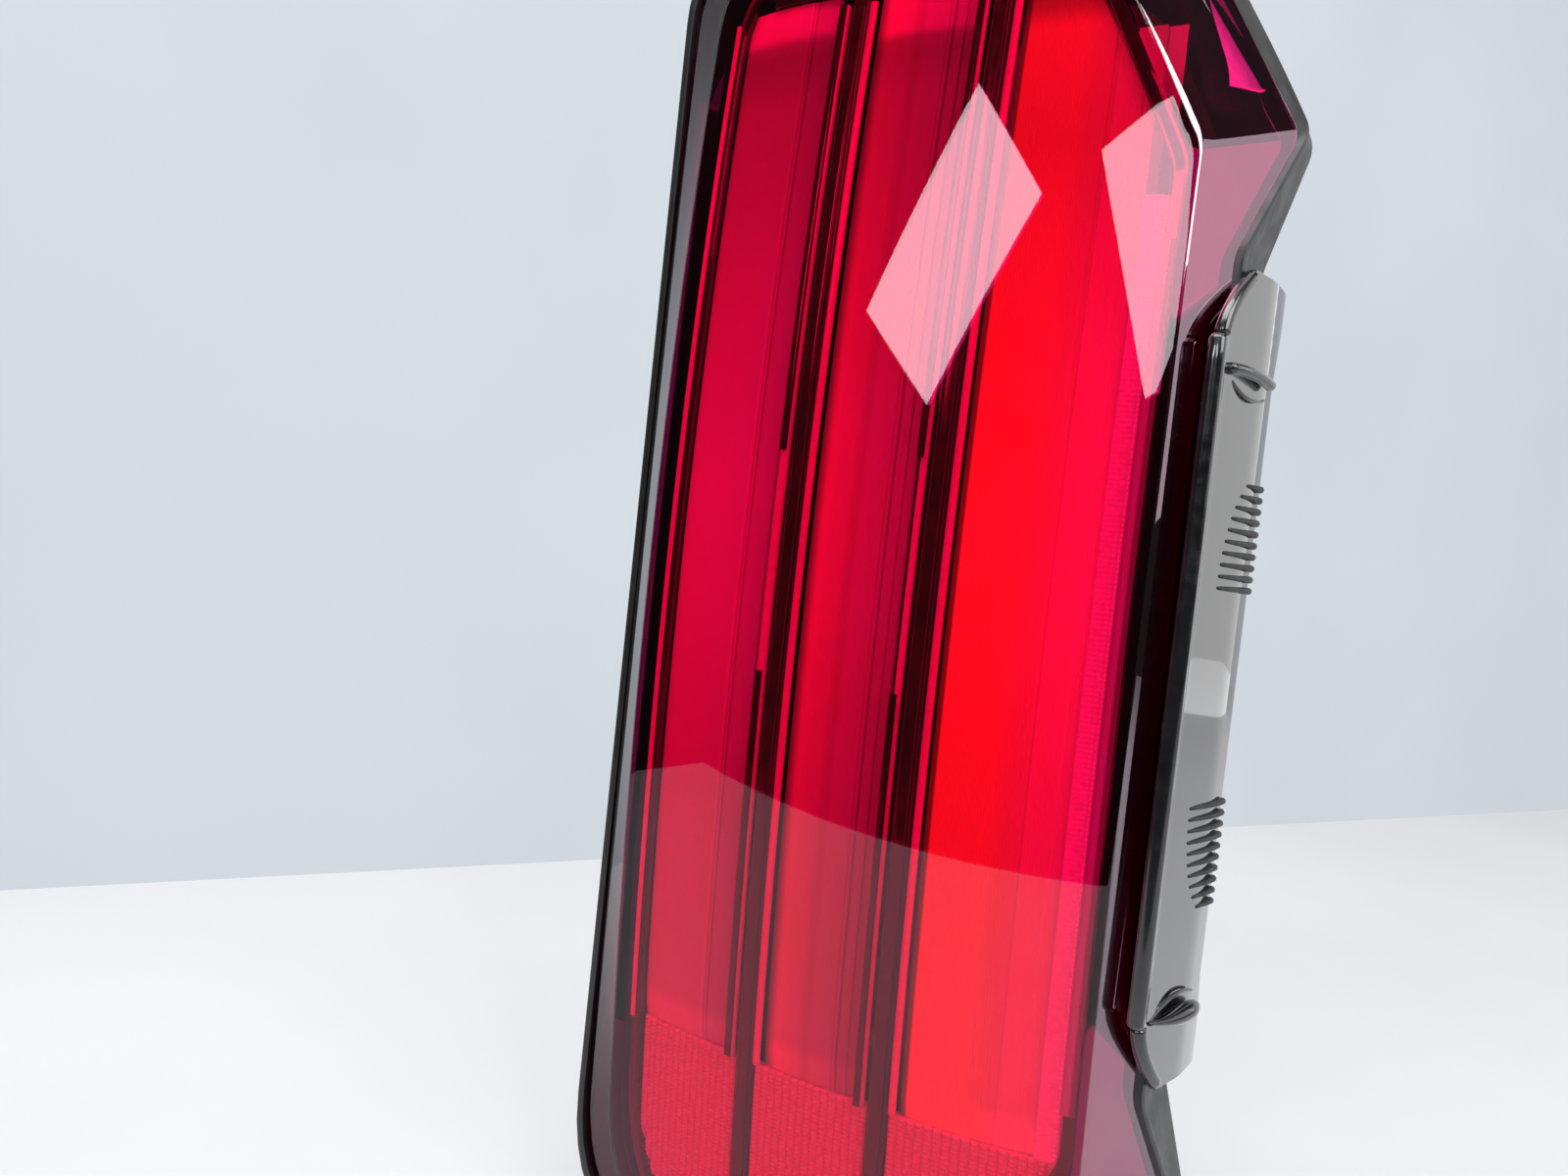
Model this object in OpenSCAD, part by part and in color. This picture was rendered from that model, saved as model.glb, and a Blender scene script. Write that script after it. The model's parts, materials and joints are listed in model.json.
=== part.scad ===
// Upright rear combination lamp: stop, tail and turn functions behind one sealed red lens.
// +Z is up, the lens faces -Y, the side bracket is on +X, and the seat boss on the back
// has the origin at the centre of its face. All sizes are in millimetres.

/* [Lens] */
// Half of the width of the front face
half_w = 85.5; // [80:0.5:90]
// Distance from the seat plane to the crown of the lens
crown = 76; // [74:0.5:80]
// Radius of the front face from side to side
front_r_x = 470; // [420:10:700]
// Radius of the front face from top to bottom
front_r_z = 2000; // [1600:100:3000]
// Wall thickness of the lens
lens_t = 3; // [2.5:0.1:3.2]

/* [Columns] */
// Height of the lower end of the lit columns
column_low = -153; // [-156:1:-150]
// Height of the upper end of the lit columns
column_high = 200; // [190:1:202]
// Thickness of a diffuser panel
panel_t = 3; // [2:0.5:3.5]

/* [Housing] */
// Wall thickness of the housing
wall = 2.5; // [2:0.1:3]

/* [Bulb holders] */
// Radius of the hole that a bulb holder turns in
holder_bore_r = 14.1; // [14.1:0.1:14.4]
// Angle between the locked and the open position of a holder
holder_turn = 45; // [40:5:50]
// Radial clearance of a bulb holder in its hole
holder_play = 0.1; // [0.05:0.01:0.1]

/* [Fasteners] */
// Radius of a threaded mounting stud
stud_r = 3; // [2.5:0.5:4]
// Radius of a locating post
post_r = 4; // [3:0.5:5]
// Half of the distance between the studs, and between the posts
fix_z = 92; // [86:1:96]

/* [Hidden] */

mid_z = -6;          // height of the middle of the side bracket
apex_z = 6;          // height at which the front face stands furthest forward
gap = 0.4;           // clearance between neighbouring pieces
bead = 1.6;          // thickness of the sealing bead
back_y = -3;         // outer face of the back wall
rim_y = -22;         // depth at which the housing wall starts to taper
board_y = -33;       // front face of the circuit boards
board_t = 1.6;
steps = 4;           // pieces of a rounded corner
holder_z = -188;
holder_x = [-42, 24];
boss_in = -8;        // inner end of the bulb holder bosses
window_top = 205;
window_low = -229.4;
pad_high = column_low - 4;
ear_x = 98.6;          // screw that holds an end of the side bracket
ear_z = 113;
flange_y = -19;      // face that the bracket's return flange lies on
flange_t = 2.5;

// Left and right edges of each lit column and of the bezel window around it
column_x = [[-77, -38.6], [-22.6, 11.6], [27.4, 69.6]];
window_x = [[-77.4, -33.2], [-26.8, 17], [23.3, 77.4]];
tray_x = [[-74, -36], [-24, 13], [28, 70]];
tray_high = [195, 195, 165];
// Centre, radius and depth behind the front face of each light pipe: rim, a, b, c, d
pipe_x = [-79.6, -35.7, -25.3, 14.5, 25.2];
pipe_r = [0.9, 1.8, 1.35, 1.3, 1.35];
pipe_d = [4.5, 7.6, 8.2, 8.2, 8.2];
// Left and right edges of the dark strips that cover part of pipes a and c
shade_x = [[-37, -34.4], [13, 15.2]];
shade_low = -21;     // the lower strips end here
shade_high = 52;     // the upper strips start here

// Depth of the front face at a place on it
function front_y(x, z) =
    -crown + x * x / (2 * front_r_x) + (z - apex_z) * (z - apex_z) / (2 * front_r_z);

// Corners of the lens outline, anticlockwise seen from behind, starting at the lower outer end.
// edge: where the front face ends; crease: where the side face starts; seam: where it ends.
function mirror_z(p) = [p[0], p[1], 2 * mid_z - p[2]];
function on_front(x, z) = [x, front_y(x, z), z];
edge_up = [
    on_front(half_w, 113), on_front(half_w, 144), on_front(69.3, 175.5),
    on_front(42.5, 226), on_front(-half_w, 226)
];
// crease corners hold their depth behind the front face in the middle place
crease_up = [
    [half_w + 1.2, 1.2, 113], [half_w + 1.2, 1.4, 144.5], [86.5, 17, 174],
    [54, 22, 233], [-half_w - 1.2, 1.2, 228]
];
seam_up = [
    [97.9, -48, 117], [108.6, -31, 155], [98.2, -32.5, 175],
    [63.7, -33, 236], [-half_w - 20, -48, 236]
];
// Length that each corner's rounding takes of its sides
round_up = [4, 5, 12, 22, 30];
// Pieces that the side after each corner is divided into, going round
side_parts = [8, 2, 2, 3, 5, 12, 5, 3, 2, 2];

function around(up) = concat(up, [for (i = [len(up) - 1:-1:0]) mirror_z(up[i])]);
round_by = concat(round_up, [for (i = [len(round_up) - 1:-1:0]) i == 4 ? 55 : round_up[i]]);
function unit(v) = v / norm(v);
function mix(a, b, t) = a * (1 - t) + b * t;
function bend(a, b, c, t) = mix(mix(a, b, t), mix(b, c, t), t);

// Rounded outline through corner points: every ring made by it has the same number of points
function ring(corners) =
    let (n = len(corners))
    let (
        before = [for (i = [0:n - 1])
            corners[i] + unit(corners[(i + n - 1) % n] - corners[i]) * round_by[i]],
        after = [for (i = [0:n - 1])
            corners[i] + unit(corners[(i + 1) % n] - corners[i]) * round_by[i]]
    )
    [for (i = [0:n - 1]) each concat(
        [for (k = [0:steps]) bend(before[i], corners[i], after[i], k / steps)],
        [for (k = [1:1:side_parts[(i + 1) % n] - 1])
            mix(after[i], before[(i + 1) % n], k / side_parts[(i + 1) % n])]
    )];
edge_ring = [for (p = ring(around(edge_up))) on_front(p[0], p[2])];
crease_ring = [for (p = ring(around(crease_up))) on_front(p[0], p[2]) + [0, p[1], 0]];
seam_ring = ring(around(seam_up));

// A ring drawn in by a distance and moved along Y
function shrink(points, by, dy) = [for (p = points) [
    p[0] * (1 - by / half_w), p[1] + dy, (p[2] - mid_z) * (1 - by / 240) + mid_z]];
function taper(points, kx, kz, y) = [for (p = points) [p[0] * kx, y, (p[2] - mid_z) * kz + mid_z]];
function inward(points, t) = [for (p = points)
    on_front(p[0] * (1 - t), mix(p[2], mid_z, t))];

// Closed solid from rings: first and last ring close on a centre point each
module rings_solid(rings, first, last) {
    n = len(rings[0]);
    m = len(rings);
    points = concat([for (r = rings) each r], [first, last]);
    sides = [for (j = [0:m - 2]) for (i = [0:n - 1]) each [
        [j * n + i, (j + 1) * n + i, (j + 1) * n + (i + 1) % n],
        [j * n + i, (j + 1) * n + (i + 1) % n, j * n + (i + 1) % n]]];
    start = [for (i = [0:n - 1]) [m * n, i, (i + 1) % n]];
    end = [for (i = [0:n - 1]) [m * n + 1, (m - 1) * n + (i + 1) % n, (m - 1) * n + i]];
    polyhedron(points, concat(start, sides, end));
}

// Closed tube from rings: the last ring joins the first
module rings_loop(rings) {
    n = len(rings[0]);
    m = len(rings);
    polyhedron([for (r = rings) each r], [for (j = [0:m - 1]) for (i = [0:n - 1])
        let (a = j * n, b = ((j + 1) % m) * n, k = (i + 1) % n) each [
        [a + i, b + i, b + k], [a + i, b + k, a + k]]]);
}

// Bar whose sections are stacked along Z
module stack(sections) {
    n = len(sections[0]);
    m = len(sections);
    // end faces as strips, so that a bent section stays a closed solid
    polyhedron([for (s = sections) each s], concat(
        [for (i = [0:n / 2 - 2]) [n - 1 - i, n - 2 - i, i + 1, i]],
        [for (j = [0:m - 2]) for (i = [0:n - 1]) each [
            [j * n + i, j * n + (i + 1) % n, (j + 1) * n + (i + 1) % n],
            [j * n + i, (j + 1) * n + (i + 1) % n, (j + 1) * n + i]]],
        [for (i = [0:n / 2 - 2]) let (t = (m - 1) * n)
            [t + i, t + i + 1, t + n - 2 - i, t + n - 1 - i]]));
}

// Curved slab that follows the front face between two depths behind it
module slab(x0, x1, z0, z1, d0, d1, nx = 2, nz = 8) {
    stack([for (j = [0:nz]) let (z = mix(z0, z1, j / nz)) concat(
        [for (i = [0:nx]) let (x = mix(x0, x1, i / nx)) [x, front_y(x, z) + d0, z]],
        [for (i = [nx:-1:0]) let (x = mix(x0, x1, i / nx)) [x, front_y(x, z) + d1, z]])]);
}

// Round rod that follows the front face at a depth behind it
module front_rod(x, r, z0, z1, depth, nz = 14, sides = 8) {
    stack([for (j = [0:nz]) let (z = mix(z0, z1, j / nz))
        [for (i = [0:sides - 1]) let (a = 360 * i / sides)
            [x + r * cos(a), front_y(x, z) + depth + r * sin(a), z]]]);
}

// Prism over the edge outline drawn in by a distance
module outline_prism(by, y0, y1) {
    translate([0, y1, 0]) rotate([90, 0, 0]) linear_extrude(y1 - y0)
        polygon([for (p = shrink(edge_ring, by, 0)) [p[0], p[2]]]);
}

// Cylinder along +Y from y0 to y1
module rod_y(x, z, r, y0, y1, fn = 48) {
    translate([x, y0, z]) rotate([-90, 0, 0]) cylinder(r = r, h = y1 - y0, $fn = fn);
}

// Ring along +Y from y0 to y1
module tube_y(x, z, r0, r1, y0, y1) {
    difference() {
        rod_y(x, z, r1, y0, y1);
        rod_y(x, z, r0, y0 - 1, y1 + 1);
    }
}

module block(x0, x1, y0, y1, z0, z1) {
    translate([x0, y0, z0]) cube([x1 - x0, y1 - y0, z1 - z0]);
}

// ---------- lens, seal and housing ----------
lens_steps = [0.12, 0.3, 0.5, 0.72, 0.9];
module outer_lens() {
    color([0.75, 0, 0.12, 0.5]) {
        inner = shrink(edge_ring, lens_t, 0);
        rings_solid(concat(
            [for (i = [len(lens_steps) - 1:-1:0]) inward(edge_ring, lens_steps[i])],
            [edge_ring, crease_ring, shrink(seam_ring, 0, -bead)],
            [shrink(seam_ring, lens_t, -bead), shrink(crease_ring, lens_t, lens_t)],
            [[for (p = inner) on_front(p[0], p[2]) + [0, lens_t, 0]]],
            [for (t = lens_steps) [for (p = inward(inner, t)) p + [0, lens_t, 0]]]),
            on_front(0, mid_z), on_front(0, mid_z) + [0, lens_t, 0]);
    }
}

module lens_seal() {
    color("dimgray") rings_loop([
        shrink(seam_ring, 0.4, -bead), shrink(seam_ring, 0.4, 0),
        shrink(seam_ring, 2.4, 0), shrink(seam_ring, 2.4, -bead)]);
}

rim_ring = [for (p = seam_ring) [p[0], rim_y, p[2]]];
module shell() {
    inner_back = back_y - wall;
    rings_solid([
        taper(seam_ring, 0.84, 0.92, back_y), rim_ring, seam_ring,
        shrink(seam_ring, wall, 0), shrink(rim_ring, wall, -0.5),
        shrink(taper(seam_ring, 0.84, 0.92, inner_back), wall, 0)],
        [0, back_y, mid_z], [0, inner_back, mid_z]);
}

module bayonet_hole(x) {
    rod_y(x, holder_z, holder_bore_r, boss_in - 1, 1, 64);
    for (k = [0:2]) translate([x, 0, holder_z]) rotate([0, holder_turn + 120 * k, 0])
        block(-5, 5, boss_in - 1, 1, 0, 17.2);
}

module rear_housing() {
    color("#16171a") difference() {
        union() {
            shell();
            rod_y(0, 0, 16, back_y - 1, 0);
            for (x = holder_x) rod_y(x, holder_z, 21, boss_in, 0, 64);
            for (s = [-1, 1]) {
                rod_y(56, mid_z + s * fix_z, 9, back_y - 8, 0);
                rod_y(-58, mid_z + s * fix_z, 9, back_y - 8, 0);
                // pads that the bracket's return flange is screwed to
                block(92, 101.4, rim_y - 5, flange_y, mid_z + s * ear_z - 5, mid_z + s * ear_z + 5);
            }
            rod_y(-52, 40, 9, back_y - 1, back_y + 3);
        }
        for (x = holder_x) bayonet_hole(x);
        for (s = [-1, 1]) {
            rod_y(56, mid_z + s * fix_z, stud_r, back_y - 6, 1);
            rod_y(-58, mid_z + s * fix_z, post_r, back_y - 6, 1);
            rod_y(ear_x, mid_z + s * ear_z, 1.2, rim_y - 4, flange_y + 1, 24);
        }
        block(-13.4, 13.4, -10, 1, 36.6, 53.4);
        rod_y(-52, 40, 4, back_y - 5, back_y + 4);
    }
}

module vent_cap() {
    color("#202226") difference() {
        union() {
            tube_y(-52, 40, 9.3, 11, back_y, back_y + 5.4);
            rod_y(-52, 40, 11, back_y + 4.6, back_y + 6.4);
        }
        for (k = [0:3]) translate([-52, 0, 40]) rotate([0, 90 * k, 0])
            block(-1.5, 1.5, back_y + 1, back_y + 3.6, 8, 12);
    }
}
module vent_membrane() { color("white") rod_y(-52, 40, 6, back_y + 3, back_y + 3.5); }

module body_gasket() {
    color("#3a3c40") difference() {
        block(-36, 36, back_y, back_y + 5, 24, 66);
        block(-30, 30, back_y - 1, back_y + 6, 30, 60);
    }
}

// ---------- optics ----------
module inner_bezel() {
    rings = [for (by = [4, 8]) for (d = [5.5, 17])
        [for (p = shrink(edge_ring, by, 0)) on_front(p[0], p[2]) + [0, d, 0]]];
    color("#1d0c14") rings_loop([rings[0], rings[1], rings[3], rings[2]]);
}

// Upright rib between two columns
module column_rib(i) {
    color("#14080e") slab(window_x[i][1], window_x[i + 1][0], window_low, window_top - gap,
        6, 16, 1, 12);
}
module column_rib_outer() { column_rib(0); }
module column_rib_inner() { column_rib(1); }
module top_mask() { color("#1d0c14") slab(-66, 32, window_top, window_top + 9, 6.6, 15, 4, 1); }

module light_panel(i) {
    color("#d0002a") intersection() {
        slab(column_x[i][0], column_x[i][1], column_low, column_high, 8, 8 + panel_t, 4, 12);
        outline_prism(8.5, -90, -20);
    }
}
module light_panel_outer() { light_panel(0); }
module light_panel_middle() { light_panel(1); }
module light_panel_inner() { light_panel(2); }

module light_pipe(i) {
    color("#ff1030") front_rod(pipe_x[i], pipe_r[i], column_low - 1, column_high, pipe_d[i]);
}
module light_pipe_rim() { light_pipe(0); }
module light_pipe_a() { light_pipe(1); }
module light_pipe_b() { light_pipe(2); }
module light_pipe_c() { light_pipe(3); }
module light_pipe_d() { light_pipe(4); }

module shade_strips() {
    color("#14080e") for (x = shade_x) for (z = [[column_low, shade_low], [shade_high, column_high]])
        slab(x[0], x[1], z[0], z[1], 5, 5.7, 1, 8);
}

module prism_pad(i) {
    color("#e02050") intersection() {
        slab(window_x[i][0] + gap, window_x[i][1] - gap, window_low, pad_high, 8, 12, 4, 4);
        outline_prism(8.5, -90, -20);
    }
}
module prism_pad_outer() { prism_pad(0); }
module prism_pad_middle() { prism_pad(1); }
module prism_pad_inner() { prism_pad(2); }
module reflex_band() { color("#ff4060") slab(70, 76.6, column_low, 132, 8, 12, 2, 10); }

module tray(i) {
    x0 = tray_x[i][0];
    x1 = tray_x[i][1];
    color("silver") difference() {
        block(x0, x1, -46, board_y - gap, column_low, tray_high[i]);
        block(x0 + 1.2, x1 - 1.2, -50, board_y - gap - 1.2, column_low + 1.2, tray_high[i] - 1.2);
        for (z = led_rows) rod_y((x0 + x1) / 2, z, 4, -40, 0, 24);
    }
}
module tray_outer() { tray(0); }
module tray_middle() { tray(1); }
module tray_inner() { tray(2); }

// ---------- circuit boards and cooling ----------
led_pitch = 30;
led_rows = [for (k = [0:10]) column_low + 24 + led_pitch * k];
function board_mid(i) = (tray_x[i][0] + tray_x[i][1]) / 2;
screw_rows = [-115, 20, 155];

module led_board(i) {
    x = board_mid(i);
    color("#f2f2ee") difference() {
        block(x - 15, x + 15, board_y, board_y + board_t, -150, 192);
        for (z = screw_rows) rod_y(x + 11, z, 1.5, board_y - 1, board_y + 3, 24);
    }
}
module led_board_outer() { led_board(0); }
module led_board_middle() { led_board(1); }
module led_board_inner() { led_board(2); }

module leds(i) {
    color("#f5e6a0") for (z = led_rows)
        block(board_mid(i) - 1.8, board_mid(i) + 1.8, board_y - 1, board_y, z - 1.8, z + 1.8);
}
module leds_outer() { leds(0); }
module leds_middle() { leds(1); }
module leds_inner() { leds(2); }

sink_y = board_y + board_t;
module heat_sink() {
    color("#b9bcc0") difference() {
        union() {
            block(-74, 70, sink_y, sink_y + 2.5, -150, 192);
            for (k = [0:11]) block(-70, 66, sink_y + 2, sink_y + 8, -140 + k * 29, -138 + k * 29);
        }
        for (i = [0:2]) for (z = screw_rows)
            rod_y(board_mid(i) + 11, z, 1.5, board_y, board_y + 6, 24);
    }
}

module board_screws() {
    color("#90939a") for (i = [0:2]) for (z = screw_rows) {
        rod_y(board_mid(i) + 11, z, 1.5, board_y - 0.2, board_y + 4, 24);
        rod_y(board_mid(i) + 11, z, 1.5, board_y - 0.2, board_y, 24);
    }
}

// ---------- bulbs ----------
module bulb_reflector(x) {
    color("#d8d8dc") translate([x, 0, holder_z]) rotate([-90, 0, 0]) rotate_extrude($fn = 64)
        polygon([[15, -14], [17, -14], [24, -24], [26, -34], [26, -40], [24.8, -40],
            [24.8, -34.2], [22.8, -24.8], [15, -15.4]]);
}
module bulb_reflector_left() { bulb_reflector(holder_x[0]); }
module bulb_reflector_right() { bulb_reflector(holder_x[1]); }

module bulb_holder(x) {
    color("#2b2d31") {
        difference() {
            union() {
                rod_y(x, holder_z, holder_bore_r - holder_play, -11, 3, 64);
                rod_y(x, holder_z, 18, 2.4, 5.4, 64);
                for (k = [0:2]) translate([x, 0, holder_z]) rotate([0, 120 * k, 0])
                    block(-4, 4, -10.8, boss_in - gap, 0, 16.6);
                rod_y(x, holder_z, 9, 5, 18);
                block(x - 15, x + 15, 5, 14, holder_z - 2.5, holder_z + 2.5);
            }
            block(x - 6, x + 6, -12, -4, holder_z - 2.2, holder_z + 2.2);
        }
    }
}
module bulb_holder_left() { bulb_holder(holder_x[0]); }
module bulb_holder_right() { bulb_holder(holder_x[1]); }

module holder_seal(x) {
    color("#101010") tube_y(x, holder_z, holder_bore_r - holder_play, 16.6, gap, 2.4);
}
module holder_seal_left() { holder_seal(holder_x[0]); }
module holder_seal_right() { holder_seal(holder_x[1]); }

module bulb(x) {
    color([1, 0.95, 0.85, 0.6]) union() {
        block(x - 5.8, x + 5.8, -13, -4.2, holder_z - 2, holder_z + 2);
        translate([x, 0, holder_z]) rotate([-90, 0, 0]) rotate_extrude($fn = 48)
            polygon(concat([[0, -12], [6, -12], [10, -18], [10, -30]],
                [for (a = [10:10:90]) [10 * cos(a), -30 - 10 * sin(a)]]));
    }
}
module bulb_left() { bulb(holder_x[0]); }
module bulb_right() { bulb(holder_x[1]); }

// ---------- driver and connector ----------
drv_x = 30;
drv_z = [74, 122];
module driver_case() {
    color("#9fa3a8") difference() {
        union() {
            block(-drv_x, drv_x, back_y, 9, drv_z[0], drv_z[1]);
            for (k = [0:6]) block(-drv_x, drv_x, 8, 15, drv_z[0] + 2 + k * 7, drv_z[0] + 4 + k * 7);
            for (s = [-1, 1]) for (z = drv_z) rod_y(s * (drv_x + 3), z, 4.5, back_y, 1, 32);
        }
        block(2 - drv_x, drv_x - 2, back_y - 1, 7, drv_z[0] + 2, drv_z[1] - 2);
        for (s = [-1, 1]) for (z = drv_z) rod_y(s * (drv_x + 3), z, 1.6, back_y - 1, 2, 24);
    }
}
module driver_board() { color("#1f6b3a") block(-27, 27, back_y + 3, back_y + 4.6, 77, 119); }
module driver_screws() {
    color("#90939a") for (s = [-1, 1]) for (z = drv_z) {
        rod_y(s * (drv_x + 3), z, 1.6, back_y, 1.5, 24);
        rod_y(s * (drv_x + 3), z, 3, 1, 3, 24);
    }
}

module connector_header() {
    color("#303236") difference() {
        union() {
            block(-13, 13, -9, 15, 37, 53);
            block(-17, 17, back_y, back_y + 2, 33, 57);
            block(-4, 4, 6, 12, 53, 55);
        }
        block(-11, 11, 1, 16, 39, 51);
    }
}
module connector_pins() {
    color("gold") for (k = [0:5]) block(-8.6 + 3.2 * k - 0.5, -8.6 + 3.2 * k + 0.5, 1, 8, 44.4, 45.6);
}

// ---------- fixings ----------
module mounting_studs() {
    color("#a8abb0") for (s = [-1, 1]) {
        rod_y(56, mid_z + s * fix_z, stud_r, back_y - 5.6, 20);
        rod_y(56, mid_z + s * fix_z, 5, 0, 1.5);
    }
}
module locating_posts() {
    color("#202226") for (s = [-1, 1]) {
        rod_y(-58, mid_z + s * fix_z, post_r, back_y - 5.6, 12);
        rod_y(-58, mid_z + s * fix_z, 6, 0, 1.5);
    }
}

// ---------- side bracket ----------
panel_front = [97.5, -61];   // front corner of the bracket panel's outer face
panel_bend = [104, -33];
panel_rear = [104.8, -21];
skin = 2.2;

// Side view of the bracket from its middle line to one end
module bracket_side_view() {
    ear_y = flange_y + flange_t;
    half = [[-61, 0], [-61, 96], [-56, 104], [-46, 119], [ear_y, 119], [ear_y, 107], [-21, 90], [-21, 0]];
    polygon(concat([for (p = half) [p[0], mid_z + p[1]]],
        [for (i = [len(half) - 2:-1:1]) [half[i][0], mid_z - half[i][1]]]));
}

module bracket_plan() {
    polygon([panel_front, panel_bend, panel_rear, panel_rear + [0.2, 5], panel_rear + [-2, 5],
        panel_rear - [skin, 0], panel_bend - [skin, 0], panel_front - [skin, 0]]);
}

// Raised hood on the panel whose mouth faces the nearer end
module guide_hood(s) {
    z = mid_z - 4 + s * 93;
    hull() {
        translate([98.2, -57, z]) sphere(r = 1.2, $fn = 16);
        translate([107.5, -31, z]) sphere(r = 1.5, $fn = 16);
        translate([101, -46, z - s * 9]) sphere(r = 1, $fn = 12);
        translate([103, -36, z - s * 9]) sphere(r = 1, $fn = 12);
        translate([103, -30, z - s * 3]) sphere(r = 1, $fn = 12);
    }
}

comb_teeth = 10;
comb_from = 32;
comb_to = 66;
module comb(s) {
    for (k = [0:comb_teeth - 1]) {
        t = k / comb_teeth;
        len_y = 21 * sqrt(1 - t * t) + 2;
        z = mid_z - 4 + s * mix(comb_from, comb_to, t);
        block(101.5, 105.4, -24 - len_y, -24, z - 0.8, z + 0.8);
    }
    z0 = mid_z - 4 + s * comb_from;
    z1 = mid_z - 4 + s * comb_to;
    block(102.5, 105.8, -25, -21.5, min(z0, z1), max(z0, z1));
}

module side_bracket() {
    color("#0d0e10") difference() {
        union() {
            intersection() {
                translate([0, 0, -200]) linear_extrude(400) bracket_plan();
                rotate([90, 0, 90]) linear_extrude(200) bracket_side_view();
            }
            for (s = [-1, 1]) {
                guide_hood(s);
                comb(s);
                // return flange over the housing pads
                block(95.8, 104.4, flange_y, flange_y + flange_t,
                    mid_z + s * ear_z - 5.5, mid_z + s * ear_z + 5.5);
            }
        }
        for (s = [-1, 1])
            rod_y(ear_x, mid_z + s * ear_z, 1.4, flange_y - 1, flange_y + flange_t + 1, 24);
    }
}

module trim_rail() {
    color("#08090a") {
        translate([93.3, 0, 0]) rotate([90, 0, 90]) linear_extrude(5.2)
            polygon(concat(
                [[-61, mid_z - 98], [-61, mid_z + 98]],
                [for (a = [80:-20:0]) [-63 - 2 * cos(a), mid_z + 96 + 2 * sin(a)]],
                [for (a = [0:20:80]) [-63 - 2 * cos(a), mid_z - 96 - 2 * sin(a)]]));
    }
}

module bracket_screws() {
    color("#90939a") for (s = [-1, 1]) {
        rod_y(ear_x, mid_z + s * ear_z, 1.2, rim_y - 4, flange_y + flange_t + 1, 24);
        rod_y(ear_x, mid_z + s * ear_z, 2.6, flange_y + flange_t, flange_y + flange_t + 2, 24);
    }
}

outer_lens();
lens_seal();
rear_housing();
inner_bezel();
column_rib_outer();
column_rib_inner();
top_mask();
light_panel_outer();
light_panel_middle();
light_panel_inner();
light_pipe_rim();
light_pipe_a();
light_pipe_b();
light_pipe_c();
light_pipe_d();
shade_strips();
prism_pad_outer();
prism_pad_middle();
prism_pad_inner();
reflex_band();
tray_outer();
tray_middle();
tray_inner();
led_board_outer();
led_board_middle();
led_board_inner();
leds_outer();
leds_middle();
leds_inner();
heat_sink();
board_screws();
bulb_reflector_left();
bulb_reflector_right();
bulb_holder_left();
bulb_holder_right();
holder_seal_left();
holder_seal_right();
bulb_left();
bulb_right();
driver_case();
driver_board();
driver_screws();
connector_header();
connector_pins();
vent_cap();
vent_membrane();
body_gasket();
mounting_studs();
locating_posts();
side_bracket();
trim_rail();
bracket_screws();
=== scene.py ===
"""Rear combination lamp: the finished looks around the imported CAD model."""
import json
import math

import bmesh
import bpy
from mathutils import Matrix, Vector


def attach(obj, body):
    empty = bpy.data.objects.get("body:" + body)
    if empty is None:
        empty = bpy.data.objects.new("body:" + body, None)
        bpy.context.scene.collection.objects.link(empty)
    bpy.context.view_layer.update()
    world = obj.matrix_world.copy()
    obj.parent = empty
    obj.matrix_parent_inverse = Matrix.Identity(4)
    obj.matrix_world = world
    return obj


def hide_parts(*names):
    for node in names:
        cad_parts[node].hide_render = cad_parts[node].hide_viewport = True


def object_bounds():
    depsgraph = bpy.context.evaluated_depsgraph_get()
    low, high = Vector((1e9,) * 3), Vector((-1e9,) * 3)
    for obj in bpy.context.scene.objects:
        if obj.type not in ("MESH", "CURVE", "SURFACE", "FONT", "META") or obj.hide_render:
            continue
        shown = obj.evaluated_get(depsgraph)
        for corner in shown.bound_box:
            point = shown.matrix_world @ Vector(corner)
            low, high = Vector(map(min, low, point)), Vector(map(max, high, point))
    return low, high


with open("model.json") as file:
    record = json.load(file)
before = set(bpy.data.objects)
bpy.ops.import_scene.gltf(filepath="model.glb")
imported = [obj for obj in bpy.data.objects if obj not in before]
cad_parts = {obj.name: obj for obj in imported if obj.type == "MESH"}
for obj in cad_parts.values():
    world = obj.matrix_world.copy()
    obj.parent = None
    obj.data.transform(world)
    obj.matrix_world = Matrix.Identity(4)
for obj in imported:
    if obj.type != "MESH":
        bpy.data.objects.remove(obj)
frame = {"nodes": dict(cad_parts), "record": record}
cad_low, cad_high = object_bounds()
nodes = frame["nodes"]
MM = 0.001

# ---------------------------------------------------------------- camera
CAMERA_AT = Vector((0.1653, -0.3995, 0.0219))
SENSOR_MM, FOCAL_MM = 36, 27
LOOK_AZIMUTH, LOOK_ELEVATION, ROLL = (math.radians(a) for a in (30.5, -2.23, 6.12))


def add_camera():
    look = Vector((-math.sin(LOOK_AZIMUTH) * math.cos(LOOK_ELEVATION),
                   math.cos(LOOK_AZIMUTH) * math.cos(LOOK_ELEVATION), math.sin(LOOK_ELEVATION)))
    right = Vector((math.cos(LOOK_AZIMUTH), math.sin(LOOK_AZIMUTH), 0))
    up = right.cross(look)
    rolled_right = right * math.cos(ROLL) + up * math.sin(ROLL)
    rolled_up = up * math.cos(ROLL) - right * math.sin(ROLL)
    data = bpy.data.cameras.new("camera")
    data.sensor_width = SENSOR_MM
    data.lens = FOCAL_MM
    data.clip_start = 0.01
    camera = bpy.data.objects.new("camera", data)
    camera.matrix_world = Matrix((rolled_right, rolled_up, -look)).transposed().to_4x4()
    camera.location = CAMERA_AT
    bpy.context.scene.collection.objects.link(camera)
    bpy.context.scene.camera = camera


add_camera()

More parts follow.
